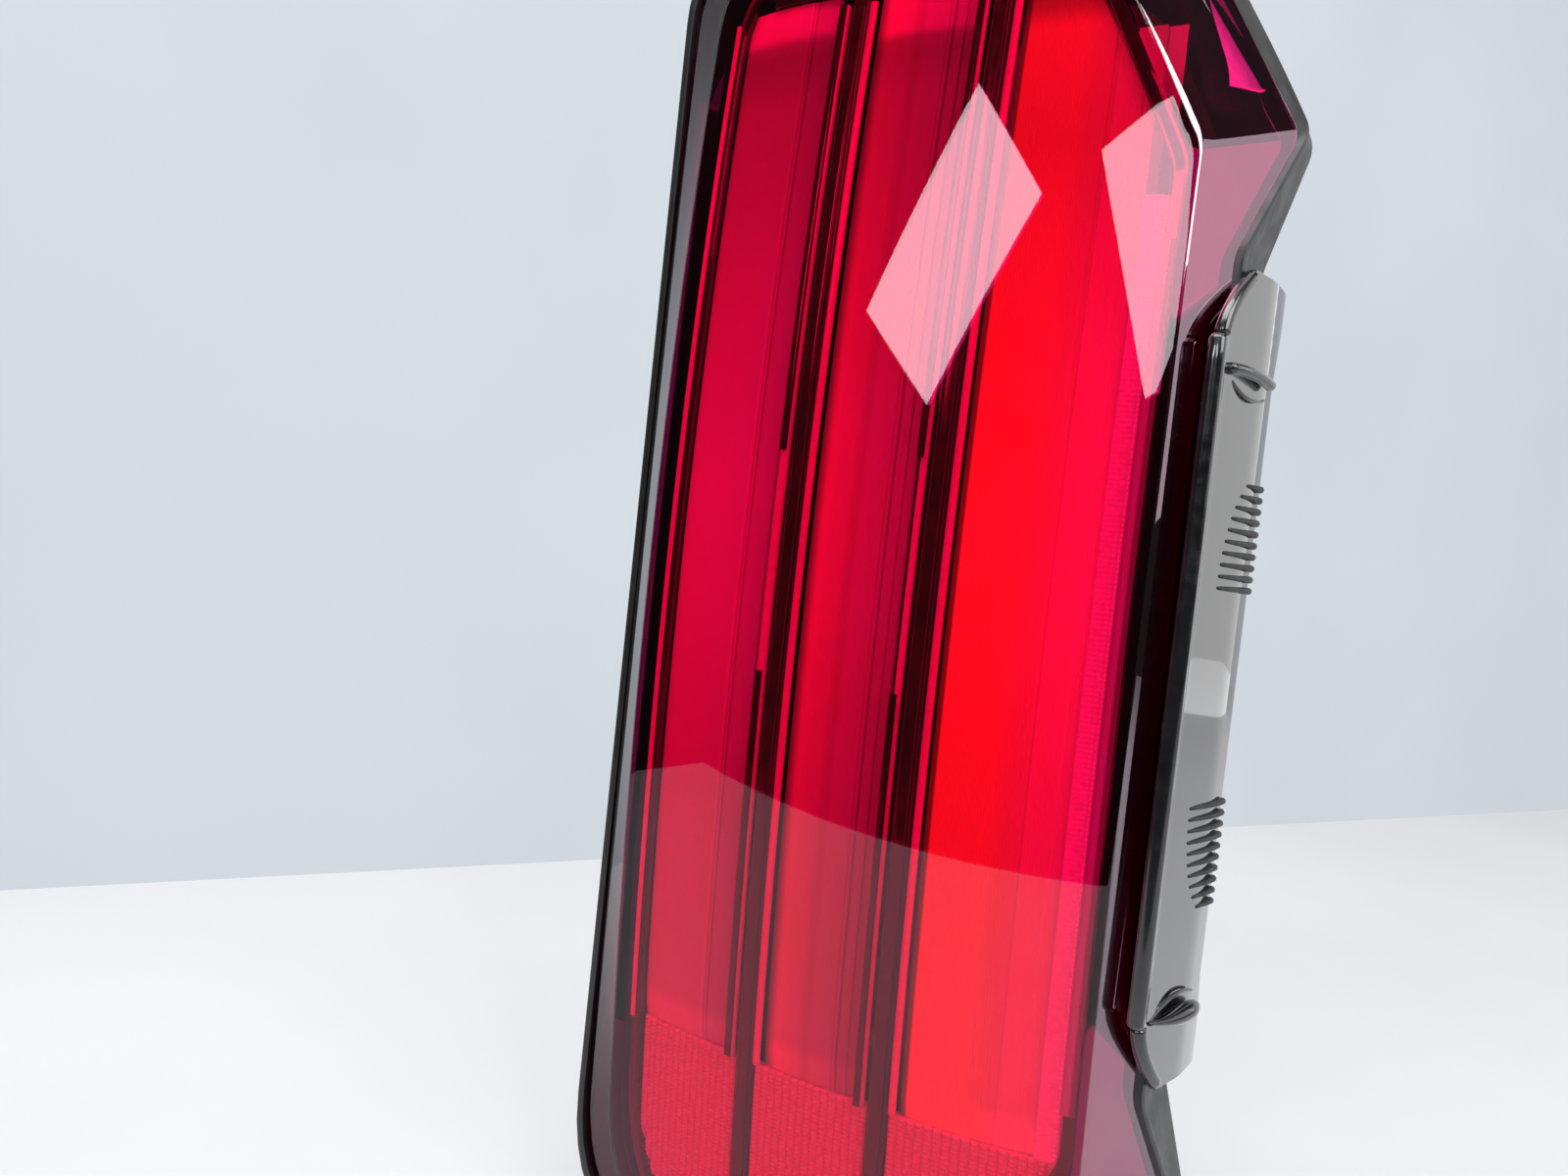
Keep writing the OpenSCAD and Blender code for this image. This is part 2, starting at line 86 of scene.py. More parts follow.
# ---------------------------------------------------------------- shape of the lens, in mm
HALF_W, CROWN = 85.5, 76
SHRINK_H = 240      # nominal half height that shrink works from
FRONT_R_X, FRONT_R_Z = 470, 2000
LENS_T = 3
BEAD = 1.6
MID_Z, APEX_Z = -6, 6
CORNER_STEPS = 10
SIDE_PIECE = 4      # longest piece of a straight side


def front_y(x, z):
    """Y of the curved front face."""
    return -CROWN + x * x / (2 * FRONT_R_X) + (z - APEX_Z) ** 2 / (2 * FRONT_R_Z)


def on_front(x, z, depth=0.0):
    return Vector((x, front_y(x, z) + depth, z))


def toward_middle(p, share, depth=0.0):
    """Place on the front face, a share of the way from p to the middle of the lens."""
    return on_front(p.x * (1 - share), p.z + (MID_Z - p.z) * share, depth)


EDGE_UP = [on_front(HALF_W, 113), on_front(HALF_W, 144), on_front(69.3, 175.5),
           on_front(42.5, 226), on_front(-HALF_W, 226)]
CREASE_UP = [Vector(p) for p in ((HALF_W + 1.2, 1.2, 113), (HALF_W + 1.2, 1.4, 144.5), (86.5, 17, 174),
                                 (54, 22, 233), (-HALF_W - 1.2, 1.2, 228))]
SEAM_UP = [Vector(p) for p in ((97.9, -48, 117), (108.6, -31, 155), (98.2, -32.5, 175),
                               (63.7, -33, 236), (-HALF_W - 20, -48, 236))]
ROUND_UP = [4, 5, 12, 22, 30]
LOW_ROUND = 55      # rounding of the lower outer corner


def around(up):
    """Whole outline from its upper half, mirrored about the middle height."""
    return up + [Vector((p.x, p.y, 2 * MID_Z - p.z)) for p in reversed(up)]


def bend(a, b, c, t):
    """Place t along a curve from a to c that is pulled towards b."""
    return a.lerp(b, t).lerp(b.lerp(c, t), t)


def ring(corners, reference):
    """Rounded outline: reference sets how many points each straight side gets."""
    n = len(corners)
    rounds = ROUND_UP + ROUND_UP[::-1]
    rounds[n // 2] = LOW_ROUND
    before = [corners[i] + (corners[i - 1] - corners[i]).normalized() * rounds[i] for i in range(n)]
    after = [corners[i] + (corners[(i + 1) % n] - corners[i]).normalized() * rounds[i] for i in range(n)]
    points = []
    for i in range(n):
        points += [bend(before[i], corners[i], after[i], k / CORNER_STEPS) for k in range(CORNER_STEPS + 1)]
        side = (reference[(i + 1) % n] - reference[i]).length
        parts = max(2, round(side / SIDE_PIECE))
        points += [after[i].lerp(before[(i + 1) % n], k / parts) for k in range(1, parts)]
    return points


EDGES = around(EDGE_UP)
edge_ring = [on_front(p.x, p.z) for p in ring(EDGES, EDGES)]
crease_ring = [on_front(p.x, p.z, p.y) for p in ring(around(CREASE_UP), EDGES)]
seam_ring = ring(around(SEAM_UP), EDGES)


def shrink(points, by, dy=0.0):
    """Outline drawn in by a distance, and moved in Y."""
    return [Vector((p.x * (1 - by / HALF_W), p.y + dy, (p.z - MID_Z) * (1 - by / SHRINK_H) + MID_Z))
            for p in points]


# ---------------------------------------------------------------- helpers
def make(name, verts, faces, material=None, body="lamp", slot=None):
    """New piece from points in mm."""
    mesh = bpy.data.meshes.new(name)
    mesh.from_pydata([Vector(v) * MM for v in verts], [], faces)
    mesh.validate()
    bm = bmesh.new()
    bm.from_mesh(mesh)
    bmesh.ops.recalc_face_normals(bm, faces=bm.faces)
    bm.to_mesh(mesh)
    bm.free()
    mesh.shade_smooth()
    piece = bpy.data.objects.new(name, mesh)
    bpy.context.scene.collection.objects.link(piece)
    if material:
        mesh.materials.append(material)
    if body:
        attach(piece, body)
    return piece


def ring_faces(rings, closed=False):
    """Faces between rings; closed also joins the last ring to the first."""
    n, m = len(rings[0]), len(rings)
    faces = []
    for j in range(m if closed else m - 1):
        for i in range(n):
            a, b, k = j * n, ((j + 1) % m) * n, (i + 1) % n
            faces.append((a + i, b + i, b + k, a + k))
    return faces


def rings_solid(name, rings, first, last, **keys):
    """Solid through rings, closed by a fan to a point at each end."""
    n, m = len(rings[0]), len(rings)
    verts = [p for r in rings for p in r] + [first, last]
    faces = ring_faces(rings)
    faces += [(m * n, i, (i + 1) % n) for i in range(n)]
    faces += [(m * n + 1, (m - 1) * n + (i + 1) % n, (m - 1) * n + i) for i in range(n)]
    return make(name, verts, faces, **keys)


def rings_loop(name, rings, **keys):
    """Frame whose section is given by rings that go all the way round."""
    return make(name, [p for r in rings for p in r], ring_faces(rings, closed=True), **keys)


def span(a, b, parts):
    """Evenly spaced values from a to b."""
    return [a + (b - a) * k / parts for k in range(parts + 1)]


def sheet_faces(nx, nz):
    """Faces of a closed slab: two grids of nx by nz points and the four strips between them."""
    half = nx * nz
    faces = []
    for j in range(nz - 1):
        for i in range(nx - 1):
            a = j * nx + i
            faces.append((a, a + 1, a + nx + 1, a + nx))
            faces.append((half + a, half + a + nx, half + a + nx + 1, half + a + 1))
    for j in range(nz - 1):
        for a in (j * nx, j * nx + nx - 1):
            faces.append((a, a + nx, half + a + nx, half + a))
    for i in range(nx - 1):
        for a in (i, (nz - 1) * nx + i):
            faces.append((a, a + 1, half + a + 1, half + a))
    return faces


def sheet_solid(name, xs, zs, front, back, **keys):
    """Closed solid between two height fields: front(x, z) and back(x, z) give Y in mm."""
    verts = [(x, surface(x, z), z) for surface in (front, back) for z in zs for x in xs]
    return make(name, verts, sheet_faces(len(xs), len(zs)), **keys)


def edge_sharp(piece, angle=35):
    piece.data.set_sharp_from_angle(angle=math.radians(angle))
    return piece


def bevel(piece, width, segments=3, angle=30):
    mod = piece.modifiers.new("edge", "BEVEL")
    mod.width = width * MM
    mod.segments = segments
    mod.limit_method = "ANGLE"
    mod.angle_limit = math.radians(angle)
    mod.harden_normals = True
    return piece


# ---------------------------------------------------------------- materials
class Graph:
    """Small helper around a material's node tree."""

    def __init__(self, name):
        self.material = bpy.data.materials.new(name)
        self.material.use_nodes = True
        self.tree = self.material.node_tree
        self.shader = self.tree.nodes["Principled BSDF"]
        self.output = self.tree.nodes["Material Output"]

    def add(self, kind, **values):
        node = self.tree.nodes.new(kind)
        for key, value in values.items():
            if hasattr(node, key) and not key[0].isupper():
                setattr(node, key, value)
            else:
                node.inputs[key.replace("_", " ")].default_value = value
        return node

    def link(self, source, target):
        self.tree.links.new(source, target)

    def set(self, **values):
        for key, value in values.items():
            self.shader.inputs[key.replace("_", " ")].default_value = value
        return self

    def position(self):
        return self.add("ShaderNodeTexCoord").outputs["Object"]

    def noise(self, scale, detail=3.0, vector=None):
        node = self.add("ShaderNodeTexNoise", Scale=scale, Detail=detail)
        self.link(vector or self.position(), node.inputs["Vector"])
        return node.outputs["Fac"]

    def stretched(self, x, y, z):
        """Object position scaled by axis, for streaks."""
        node = self.add("ShaderNodeMapping", Scale=(x, y, z))
        self.link(self.position(), node.inputs["Vector"])
        return node.outputs["Vector"]

    def ramp(self, source, low, high, start=0.0, stop=1.0):
        """Colour or value that goes from low to high as the source goes from start to stop."""
        node = self.add("ShaderNodeMapRange")
        node.inputs["From Min"].default_value = start
        node.inputs["From Max"].default_value = stop
        self.link(source, node.inputs["Value"])
        if isinstance(low, (int, float)):
            node.inputs["To Min"].default_value = low
            node.inputs["To Max"].default_value = high
            return node.outputs["Result"]
        mixer = self.add("ShaderNodeMix", data_type="RGBA")
        for socket in mixer.inputs:
            if socket.name == "A" and socket.type == "RGBA":
                socket.default_value = (*low, 1)
            if socket.name == "B" and socket.type == "RGBA":
                socket.default_value = (*high, 1)
        self.link(node.outputs["Result"], mixer.inputs[0])
        return [s for s in mixer.outputs if s.type == "RGBA"][0]

    def axis(self, name, start, stop):
        """0 to 1 along one axis of the object, from start to stop in mm."""
        split = self.add("ShaderNodeSeparateXYZ")
        self.link(self.position(), split.inputs[0])
        return self.ramp(split.outputs[name], 0.0, 1.0, start * MM, stop * MM)

    def stops(self, source, pairs):
        """Colour along a 0 to 1 source, from (place, colour) pairs."""
        node = self.add("ShaderNodeValToRGB")
        elements = node.color_ramp.elements
        elements.remove(elements[1])
        for k, (place, colour) in enumerate(pairs):
            element = elements[0] if k == 0 else elements.new(place)
            element.position = place
            element.color = (*colour, 1)
        self.link(source, node.inputs["Fac"])
        return node.outputs["Color"]

    def times(self, a, b):
        node = self.add("ShaderNodeVectorMath", operation="MULTIPLY")
        self.link(a, node.inputs[0])
        self.link(b, node.inputs[1])
        return node.outputs[0]

    def bump(self, height, strength, distance):
        node = self.add("ShaderNodeBump", Strength=strength, Distance=distance)
        self.link(height, node.inputs["Height"])
        self.link(node.outputs["Normal"], self.shader.inputs["Normal"])
        return node


def moulded(name, colour, light, roughness, grain=900.0, depth=0.00004):
    """Moulded plastic: slow colour variation, fine grain, worn-looking roughness."""
    g = Graph(name)
    g.link(g.ramp(g.noise(35), colour, light, 0.35, 0.7), g.shader.inputs["Base Color"])
    g.link(g.ramp(g.noise(160, 5), roughness * 0.85, roughness * 1.2, 0.3, 0.7), g.shader.inputs["Roughness"])
    g.bump(g.noise(grain, 2), 0.25, depth)
    return g.material


def gloss_black(name, colour, roughness, coat=1.5):
    """Dark plastic under a clear coat, whose index is coat."""
    g = Graph(name)
    light = tuple(c * 2.2 for c in colour)
    g.link(g.ramp(g.noise(60), colour, light, 0.4, 0.7), g.shader.inputs["Base Color"])
    g.link(g.ramp(g.noise(240, 4), roughness * 0.7, roughness * 1.6, 0.35, 0.75),
           g.shader.inputs["Roughness"])
    g.set(Coat_Weight=1.0, Coat_Roughness=0.03, Coat_IOR=coat)
    g.bump(g.noise(40, 1), 0.04, 0.0004)
    return g.material


def metal(name, colour, roughness, streak=(400, 400, 20)):
    """Metal with fine streaks."""
    g = Graph(name)
    g.set(Metallic=1.0)
    dark = tuple(c * 0.82 for c in colour)
    g.link(g.ramp(g.noise(1.0, 4, g.stretched(*streak)), dark, colour, 0.3, 0.7),
           g.shader.inputs["Base Color"])
    g.link(g.ramp(g.noise(1.0, 4, g.stretched(*streak)), roughness * 0.8, roughness * 1.3, 0.3, 0.7),
           g.shader.inputs["Roughness"])
    g.bump(g.noise(1.0, 3, g.stretched(*streak)), 0.12, 0.00005)
    return g.material


FRONT_MIRROR, PAINTED_SIDE_SHEEN = 0.035, 0.22     # share that the skin reflects, seen straight on: real on the front, raised on the side facets as painted sheen
# pink tint of the painted sheen on the side facets
PAINTED_SHEEN_TINT = (1, 0.72, 0.86)
UP_WEIGHT = 0.6     # how much an upward lean counts, next to one towards +X
SCHLICK_POWER = 5


def lens_material():
    """Clear red wall: tinted see-through body under a polished skin."""
    g = Graph("red_lens")
    g.tree.nodes.remove(g.shader)
    tint = g.add("ShaderNodeBsdfTransparent")
    g.link(g.ramp(g.noise(25, 2), (0.965, 0.11, 0.46), (0.975, 0.13, 0.5), 0.3, 0.7), tint.inputs["Color"])
    skin = g.add("ShaderNodeBsdfGlossy", Roughness=0.0)
    g.link(g.ramp(g.noise(300, 3), 0.004, 0.02, 0.4, 0.8), skin.inputs["Roughness"])
    ripple = g.add("ShaderNodeBump", Strength=0.02, Distance=0.0005)
    g.link(g.noise(9, 1), ripple.inputs["Height"])
    g.link(ripple.outputs["Normal"], skin.inputs["Normal"])
    # Schlick's rule, which is the same from inside and outside
    facing = g.add("ShaderNodeLayerWeight", Blend=0.5)
    power = g.add("ShaderNodeMath", operation="POWER")
    power.inputs[1].default_value = SCHLICK_POWER
    g.link(facing.outputs["Facing"], power.inputs[0])
    mixer = g.add("ShaderNodeMixShader")
    # painted sheen: facets that lean towards +X and up reflect more than the front, with a pink tint
    split = g.add("ShaderNodeSeparateXYZ")
    g.link(g.add("ShaderNodeNewGeometry").outputs["Normal"], split.inputs[0])
    share = g.add("ShaderNodeMapRange")
    share.inputs["To Max"].default_value = 1.0
    lean = g.add("ShaderNodeMath", operation="MULTIPLY_ADD")
    lean.inputs[1].default_value = UP_WEIGHT
    g.link(split.outputs["Z"], lean.inputs[0])
    g.link(split.outputs["X"], lean.inputs[2])
    g.link(g.ramp(lean.outputs[0], FRONT_MIRROR, PAINTED_SIDE_SHEEN, 0.45, 0.7), share.inputs["To Min"])
    g.link(g.ramp(lean.outputs[0], (1, 1, 1), PAINTED_SHEEN_TINT, 0.6, 0.8), skin.inputs["Color"])
    g.link(power.outputs[0], share.inputs["Value"])
    g.link(share.outputs["Result"], mixer.inputs[0])
    g.link(tint.outputs[0], mixer.inputs[1])
    g.link(skin.outputs[0], mixer.inputs[2])
    g.link(mixer.outputs[0], g.output.inputs["Surface"])
    return g.material


def diffuser_material(name, across, along, glow):
    """Satin diffuser: (X, red, blue share) across the column, (Z, level) along it, fine upright flutes. The
    red level and the Z level are painted light and shade, the blue share is the hue, and glow is painted
    glow.
    """
    g = Graph(name)
    x0, x1, z0, z1 = across[0][0], across[-1][0], along[0][0], along[-1][0]
    hue_and_light_across = g.stops(g.axis("X", x0, x1), [((x - x0) / (x1 - x0), (red, red * 0.5, red * blue))
                                         for x, red, blue in across])
    painted_level_along = g.stops(g.axis("Z", z0, z1), [((z - z0) / (z1 - z0), (level,) * 3) for z, level in along])
    # painted light and shade: hue and light across, times the painted level along
    colour = g.times(hue_and_light_across, painted_level_along)
    g.link(colour, g.shader.inputs["Base Color"])
    # the same painted colour is the emission colour; a glow above zero is painted glow
    g.link(colour, g.shader.inputs["Emission Color"])
    g.set(Roughness=0.38, Emission_Strength=glow)
    wave = g.add("ShaderNodeTexWave", Scale=340.0, Distortion=0.0)
    g.link(g.position(), wave.inputs["Vector"])
    g.bump(wave.outputs["Fac"], 0.3, 0.0002)
    return g.material


def prism_material(name, colour, glow):
    """Glossy red plastic of the cells and pipes; glow is painted glow: emission in the plastic's own tone,
    though the lamp is not lit.
    """
    g = Graph(name)
    tone = g.ramp(g.noise(500, 2), tuple(c * 0.9 for c in colour), colour, 0.35, 0.65)
    g.link(tone, g.shader.inputs["Base Color"])
    g.link(g.ramp(g.noise(700, 2), 0.08, 0.22, 0.3, 0.7), g.shader.inputs["Roughness"])
    g.link(tone, g.shader.inputs["Emission Color"])
    g.set(Coat_Weight=0.6, Emission_Strength=glow)
    return g.material


# ---------------------------------------------------------------- outer lens
ROUND_REACH, ROUND_SHARE = 2.6, 0.45    # how far a rounded edge reaches: at most, and as a share
ROUND_STEPS = 5


def lens_profile(i):
    """Outer section at a station, from the front face to the seam."""
    e, c, s = edge_ring[i], crease_ring[i], shrunk_seam[i]
    reach = min(ROUND_REACH, (c - e).length * ROUND_SHARE)
    share = reach / math.hypot(e.x, e.z - MID_Z)
    to_crease = (c - e).normalized() * reach
    to_seam = (s - c).normalized() * reach
    steps = span(0, 1, ROUND_STEPS)
    points = [bend(toward_middle(e, share), e, e + to_crease, t) for t in steps]
    points += [bend(c - to_crease, c, c + to_seam, t) for t in steps]
    last = points[-1]
    points += [last.lerp(s, k / 4) for k in (1, 2, 3, 4)]
    return points, share


shrunk_seam = shrink(seam_ring, 0, -BEAD)
FRONT_RINGS = 30


def build_lens(material):
    sections = [lens_profile(i) for i in range(len(edge_ring))]
    interior = []
    for k in range(FRONT_RINGS - 1, 0, -1):
        t = k / FRONT_RINGS
        interior.append([toward_middle(e, share + (1 - share) * t)
                         for e, (_, share) in zip(edge_ring, sections)])
    outer = [[points[j] for points, _ in sections] for j in range(len(sections[0][0]))]
    inner_edge = shrink(edge_ring, LENS_T)
    inner_edge = [on_front(p.x, p.z, LENS_T) for p in inner_edge]
    inner = [shrink(shrunk_seam, LENS_T), shrink(crease_ring, LENS_T, LENS_T), inner_edge]
    for k in range(1, FRONT_RINGS):
        inner.append([toward_middle(p, k / FRONT_RINGS, LENS_T) for p in inner_edge])
    piece = rings_solid("lens_shell", interior + outer + inner, on_front(0, MID_Z),
                        on_front(0, MID_Z, LENS_T), material=material, slot="red_lens")
    edge_sharp(piece, 40)
    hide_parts("outer_lens")
    return piece


build_lens(lens_material())

# section of the bead: how far in from the seam, and Y from the seam
BEAD_SECTION = [(0.9, -4.6), (0, -4.2), (-0.4, -2.5), (-0.2, -0.4), (0, 0), (2.4, 0), (2.4, -4.6)]


def build_bead(material):
    """Black bead along the seam, a little proud of the lens edge and kept within the CAD box."""
    low, high = cad_low / MM, cad_high / MM
    rings = [[Vector((max(low.x, min(high.x, p.x)), p.y, max(low.z, min(high.z, p.z))))
              for p in shrink(seam_ring, by, dy)] for by, dy in BEAD_SECTION]
    piece = rings_loop("seam_bead", rings, material=material, slot="sealant")
    edge_sharp(piece, 50)
    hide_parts("lens_seal")


build_bead(moulded("bead_black", (0.004, 0.004, 0.005), (0.008, 0.008, 0.009), 0.4))

# ---------------------------------------------------------------- optics behind the lens
COLUMN_LOW, COLUMN_HIGH = -153, 200
COLUMN_X = [(-77, -38.6), (-22.6, 11.6), (27.4, 69.6)]
WINDOW_X = [(-77.4, -33.2), (-26.8, 17), (23.3, 77.4)]
WINDOW_LOW, WINDOW_TOP = -229.4, 205
PAD_HIGH = COLUMN_LOW - 0.6
PANEL_D, PANEL_T = 8, 3
NAMES = ("outer", "middle", "inner")
bezel_black = gloss_black("bezel_black", (0.012, 0.003, 0.008), 0.12)
rib_black = gloss_black("rib_black", (0.02, 0.004, 0.012), 0.16)

# section of the bezel: how far in from the lens edge, and how far behind the front face
BEZEL_SECTION = [(4, 17), (4, 6.2), (4.8, 5.5), (7.4, 5.5), (8, 6.4), (8, 17)]


def build_bezel():
    rings = [[on_front(p.x, p.z, d) for p in shrink(edge_ring, by)] for by, d in BEZEL_SECTION]
    piece = rings_loop("bezel_frame", rings, material=bezel_black, slot="bezel_black")
    edge_sharp(piece)
    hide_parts("inner_bezel")


INSIDE_X, CHAMFER_FROM, CHAMFER_SLOPE = 77.0, 150, 0.53


def chamfer_x(z):
    """Largest X inside the outline at a height, a little within the edge."""
    return INSIDE_X - max(0.0, abs(z - MID_Z) - CHAMFER_FROM) * CHAMFER_SLOPE


STEP_X = [(-48, -39.5), (4.5, 8.2), (56.5, 66)]     # two upright lines on each panel
STEP_H, LINE_H, LINE_W = 0.35, 0.5, 0.2
PANEL_CROWN = 0.9
END_ROUND, END_DROP = 14, 1.2       # the rounded lower end


def build_panel(i, material):
    x0, x1 = COLUMN_X[i]
    steps = STEP_X[i]
    xs = sorted(set(span(x0, x1, 60)) | {s + d for s in steps for d in (-0.25, 0.25, -0.06, 0.06)})
    zs = span(COLUMN_LOW, WINDOW_TOP - 0.5, 90)

    def front(x, z):
        # crowned across, with a shallow step at each line and a rounded lower end
        t = (x - x0) / (x1 - x0)
        depth = PANEL_D + PANEL_CROWN * (2 * t - 1) ** 2
        depth += sum(STEP_H for s in steps if x > s)
        depth += sum(LINE_H * math.exp(-((x - s) / LINE_W) ** 2) for s in steps)
        end = max(0.0, (COLUMN_LOW + END_ROUND - z) / END_ROUND)
        return min(front_y(x, z) + depth + END_DROP * end ** 2, front_y(x, z) + PANEL_D + PANEL_T - 0.3)

    piece = sheet_solid(f"diffuser_{NAMES[i]}", xs, zs, front,
                        lambda x, z: front_y(x, z) + PANEL_D + PANEL_T,
                        material=material, slot="diffuser_red")
    for v in piece.data.vertices:
        x, z = v.co.x / MM, v.co.z / MM
        v.co.x = min(x, chamfer_x(z) - 1 - (x1 - x) * 0.02) * MM
    edge_sharp(piece, 30)
    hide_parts(f"light_panel_{NAMES[i]}")


def build_rib(i):
    x0, x1 = WINDOW_X[i][1], WINDOW_X[i + 1][0]
    zs = span(WINDOW_LOW + 0.4, WINDOW_TOP - 0.4, 60)
    xs = span(x0, x1, 24)

    def front(x, z):
        t = (x - x0) / (x1 - x0)
        groove = 0.8 * math.exp(-((t - 0.86) / 0.035) ** 2) + 0.5 * math.exp(-((t - 0.1) / 0.03) ** 2)
        return front_y(x, z) + 6.2 + 1.6 * (2 * t - 1) ** 4 + groove

    piece = sheet_solid(f"rib_{NAMES[i]}", xs, zs, front, lambda x, z: front_y(x, z) + 16,
                        material=rib_black, slot="bezel_black")
    edge_sharp(piece, 40)
    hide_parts(f"column_rib_{NAMES[i] if i == 0 else 'inner'}")


PIPE_X = [-79.6, -35.7, -25.3, 14.5, 25.2]
PIPE_R = [0.9, 1.8, 1.35, 1.3, 1.35]
PIPE_D = [4.5, 7.6, 8.2, 8.2, 8.2]
PIPE_NAMES = ("rim", "a", "b", "c", "d")
PIPE_FIT = 0.97     # drawn a little thinner than its CAD solid


def build_pipe(i, material):
    """Round rod that follows the lens, with a domed lower end."""
    x, r = PIPE_X[i], PIPE_R[i] * PIPE_FIT
    depth = PIPE_D[i]
    low, high = COLUMN_LOW - 1, COLUMN_HIGH
    stops = [(low + r * (1 - math.cos(a)), math.sin(a)) for a in span(0.12, math.pi / 2, 6)]
    stops += [(z, 1.0) for z in span(low + r * 1.2, high, 80)]
    sides = 20
    rings = [[Vector((x + r * k * math.cos(a), front_y(x, z) + depth + r * k * math.sin(a), z))
              for a in (2 * math.pi * j / sides for j in range(sides))] for z, k in stops]
    piece = rings_solid(f"pipe_{PIPE_NAMES[i]}", rings, on_front(x, low, depth),
                        on_front(x, high, depth), material=material, slot="light_guide")
    edge_sharp(piece, 50)
    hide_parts(f"light_pipe_{PIPE_NAMES[i]}")


CELL_W, CELL_H = 2.9, 1.5
PAD_D, PAD_BACK = 8.05, 12
PILLOW = 1.6
CUT_Z, CUT_H, CUT_X = -190, 50, 26      # rounded lower left corner of the pads


def build_pad(i, material):
    """Field of small pillow cells in upright rows."""
    x0, x1 = WINDOW_X[i][0] + 0.4, WINDOW_X[i][1] - 0.4
    z0, z1 = WINDOW_LOW + 0.6, PAD_HIGH
    across, up = round((x1 - x0) / CELL_W), round((z1 - z0) / CELL_H)
    xs = span(x0, x1, across * 6)
    zs = span(z0, z1, up * 4)

    def front(x, z):
        u = ((x - x0) / (x1 - x0) * across) % 1.0
        v = ((z - z0) / (z1 - z0) * up) % 1.0
        pillow = 0.75 * abs(2 * u - 1) ** 2.5 + 0.25 * abs(2 * v - 1) ** 2
        return front_y(x, z) + PAD_D + pillow * PILLOW

    piece = sheet_solid(f"prisms_{NAMES[i]}", xs, zs, front, lambda x, z: front_y(x, z) + PAD_BACK,
                        material=material, slot="prism_red")
    for v in piece.data.vertices:
        limit = chamfer_x(v.co.z / MM) - 1
        v.co.x = min(v.co.x / MM, limit) * MM
    for v in [v for v in piece.data.vertices if v.co.z < CUT_Z * MM]:
        drop = (CUT_Z - v.co.z / MM) / CUT_H
        v.co.x = max(v.co.x / MM, -INSIDE_X + CUT_X * drop * drop) * MM
    edge_sharp(piece, 60)
    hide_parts(f"prism_pad_{NAMES[i]}")


REFLEX_X, REFLEX_TOP = (70, 76.6), 132
REFLEX_W, REFLEX_H = 1.65, 1.5
REFLEX_D = 8.1
REFLEX_COARSE_X = 75        # the cells are deeper beyond this


def build_reflex(material):
    """Band of small pyramid cells beside the inner panel."""
    xs = span(*REFLEX_X, 24)
    zs = span(COLUMN_LOW, REFLEX_TOP, 760)

    def front(x, z):
        u, v = ((x - REFLEX_X[0]) / REFLEX_W) % 1.0, ((z - COLUMN_LOW) / REFLEX_H) % 1.0
        deep = 0.25 if x < REFLEX_COARSE_X else 0.9
        return front_y(x, z) + REFLEX_D + deep * max(abs(2 * u - 1), abs(2 * v - 1))

    piece = sheet_solid("reflex_cells", xs, zs, front, lambda x, z: front_y(x, z) + PAD_BACK,
                        material=material, slot="prism_red")
    edge_sharp(piece, 10)
    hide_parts("reflex_band")


build_bezel()
# painted light and shade of each panel: (X, red, blue share of the red) across it. The red level is painted
# light and shade, with painted highlight and shade lines at the steps and painted shade at the edges, and the
# blue share is the panel's hue.
PANEL_HUE_AND_LIGHT = [
    [(-77, .95, .85), (-68, .89, .87), (-57, .83, .9), (-51, .78, .95), (-50.3, .88, .95), (-49.6, .8, .95),
     (-49.1, .5, 1), (-48.5, .8, 1), (-47.8, .55, 1), (-47.2, .68, 1.05), (-45, .65, 1.1), (-40, .58, 1.2),
     (-38.6, .4, 1.2)],
    [(-22.6, .18, .6), (-21.5, .35, .6), (-20.4, .6, .6), (-19, .95, .6), (-17.5, 1, .62), (-15, .91, .65),
     (-10, .82, .7), (-8.5, .7, .75), (-6.5, .62, .8), (-4.5, .7, .85), (-1, .65, .9), (2.6, .6, .95),
     (3, .42, .95), (3.6, .62, .95), (4.3, .42, 1), (4.9, .53, 1), (10.5, .47, 1.05), (11.6, .3, 1.1)],
    [(27.4, .12, .1), (28.9, .2, .1), (29.6, 1, .1), (47, 1, .12), (52, .88, .2), (57.1, .86, .3),
     (57.5, .7, .35), (57.9, .92, .35), (66, .92, .4), (68, .85, .45), (69.6, .7, .5)]]
# and (Z, level) along it, also painted light and shade: the part that all three share, then the top of each.
# It paints highlights at the lower ends and at the tops of the outer and middle panels, and shade below the
# tops.
SHARED_PAINTED_LEVEL = [(-153, 1.1), (-146, 1.1), (-141, 0.85), (-60, 0.82), (0, 1), (40, 1), (60, 0.93), (110, 0.76),
         (150, 0.6)]
PANEL_PAINTED_LEVEL = [SHARED_PAINTED_LEVEL + [(168, 0.55), (186, 0.38), (191, 0.5), (194, 1.15), (200, 1.25)],
         SHARED_PAINTED_LEVEL + [(168, 0.55), (181, 0.42), (186, 0.5), (189, 1.1), (200, 1.2)],
         SHARED_PAINTED_LEVEL + [(184, 0.7), (190, 0.35), (200, 0.1)]]
# painted glow of each panel, given as emission
PANEL_PAINTED_GLOW = [0.0, 0.0, 0.3]
for number in range(3):
    build_panel(number, diffuser_material(f"diffuser_{NAMES[number]}", PANEL_HUE_AND_LIGHT[number], PANEL_PAINTED_LEVEL[number],
                                          PANEL_PAINTED_GLOW[number]))
for number in (0, 1):
    build_rib(number)
